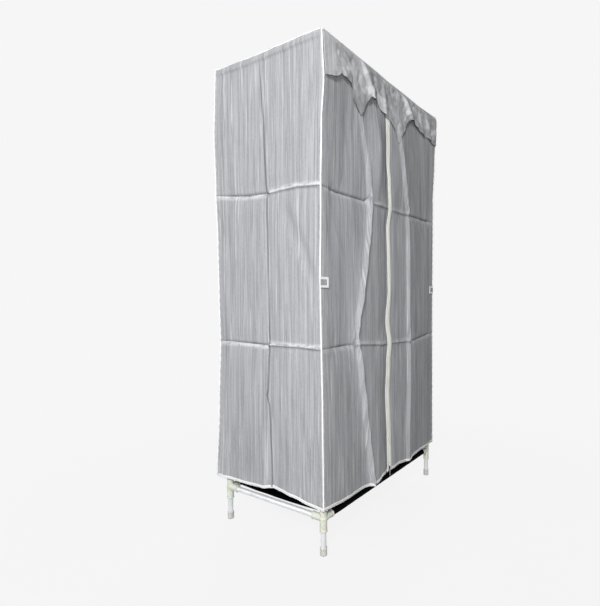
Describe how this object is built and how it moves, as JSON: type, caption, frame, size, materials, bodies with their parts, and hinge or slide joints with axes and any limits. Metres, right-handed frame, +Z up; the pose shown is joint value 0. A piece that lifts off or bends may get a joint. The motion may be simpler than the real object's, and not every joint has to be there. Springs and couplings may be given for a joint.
{
  "type": "portable fabric wardrobe",
  "caption": "Tall box-shaped clothes wardrobe: a plug-together tube frame on bare feet under a striped cloth cover with a zipped front and a short valance.",
  "frame": {"origin": "on the floor under the middle of the wardrobe's overall box", "axes": "+Z up, -Y towards the zipped front, +X towards the wardrobe's right as seen from the front"},
  "size_m": [0.8524, 0.5209, 1.7],
  "materials": {
    "cover_cloth": "matt non-woven cloth with fine grey upright pinstripes",
    "valance_cloth": "thin, pale, crumpled non-woven cloth",
    "white_binding": "white sewn binding and piping",
    "zip_tape": "cream woven zip tape with plastic teeth",
    "zip_metal": "dark plated zip slider and puller",
    "tube_steel": "smooth light grey coated steel tube",
    "connector_plastic": "cream moulded plastic, lightly satin",
    "shelf_cloth": "black non-woven cloth"
  },
  "bodies": {
    "root": {"foot_cap_front_left": "connector_plastic", "leg_tube_front_left": "tube_steel", "bottom_connector_front_left": "connector_plastic", "lower_upright_front_left": "tube_steel", "mid_connector_front_left": "connector_plastic", "upper_upright_front_left": "tube_steel", "top_connector_front_left": "connector_plastic", "foot_cap_front_right": "connector_plastic", "leg_tube_front_right": "tube_steel", "bottom_connector_front_right": "connector_plastic", "lower_upright_front_right": "tube_steel", "mid_connector_front_right": "connector_plastic", "upper_upright_front_right": "tube_steel", "top_connector_front_right": "connector_plastic", "foot_cap_rear_left": "connector_plastic", "leg_tube_rear_left": "tube_steel", "bottom_connector_rear_left": "connector_plastic", "lower_upright_rear_left": "tube_steel", "mid_connector_rear_left": "connector_plastic", "upper_upright_rear_left": "tube_steel", "top_connector_rear_left": "connector_plastic", "foot_cap_rear_right": "connector_plastic", "leg_tube_rear_right": "tube_steel", "bottom_connector_rear_right": "connector_plastic", "lower_upright_rear_right": "tube_steel", "mid_connector_rear_right": "connector_plastic", "upper_upright_rear_right": "tube_steel", "top_connector_rear_right": "connector_plastic", "bottom_rail_left": "tube_steel", "bottom_rail_right": "tube_steel", "bottom_rail_front": "tube_steel", "bottom_rail_rear": "tube_steel", "mid_rail_left": "tube_steel", "mid_rail_right": "tube_steel", "top_rail_left": "tube_steel", "top_rail_right": "tube_steel", "top_rail_front": "tube_steel", "top_rail_rear": "tube_steel", "hanging_rail": "tube_steel", "rail_clip_left": "connector_plastic", "rail_clip_right": "connector_plastic", "bottom_shelf": "shelf_cloth", "cover_left_panel": "cover_cloth", "cover_right_panel": "cover_cloth", "cover_back_panel": "cover_cloth", "cover_top_panel": "cover_cloth", "door_left_cloth": "cover_cloth", "door_right_cloth": "cover_cloth", "cover_hem_binding": "white_binding", "piping_front": "white_binding", "piping_rear": "white_binding", "piping_top_left": "white_binding", "piping_top_right": "white_binding"},
    "door_left_edge": {"zip_tape_left": "zip_tape"},
    "door_right_edge": {"zip_tape_right": "zip_tape"},
    "zip_slider": {"zip_slider": "zip_metal"},
    "zip_puller": {"zip_puller": "zip_metal"},
    "valance": {"valance": "valance_cloth"},
    "tieback_left": {"tieback_left": "white_binding"},
    "tieback_right": {"tieback_right": "white_binding"}
  },
  "joints": [
    {"name": "door_left_draw", "type": "slide", "parent": "root", "child": "door_left_edge", "axis": [-1, 0, 0], "range_m": [0, 0.315], "deforming": ["door_left_cloth"]},
    {"name": "door_right_draw", "type": "slide", "parent": "root", "child": "door_right_edge", "axis": [1, 0, 0], "range_m": [0, 0.315], "deforming": ["door_right_cloth"]},
    {"name": "zip_run", "type": "slide", "parent": "door_left_edge", "child": "zip_slider", "axis": [0, 0.0058, 1], "range_m": [0, 1.28]},
    {"name": "puller_swing", "type": "hinge", "parent": "zip_slider", "child": "zip_puller", "pos_m": [0, -0.25413, 0.17], "axis": [-1, 0, 0], "range_deg": [0, 150]},
    {"name": "valance_lift", "type": "hinge", "parent": "root", "child": "valance", "pos_m": [0, -0.24332, 1.6942], "axis": [-1, 0, 0], "range_deg": [0, 100]},
    {"name": "tieback_left_swing", "type": "hinge", "parent": "root", "child": "tieback_left", "pos_m": [-0.41515, -0.24832, 0.89], "axis": [0, 0, -1], "range_deg": [0, 140]},
    {"name": "tieback_right_swing", "type": "hinge", "parent": "root", "child": "tieback_right", "pos_m": [0.41515, -0.24832, 0.89], "axis": [0, 0, 1], "range_deg": [0, 140]}
  ]
}
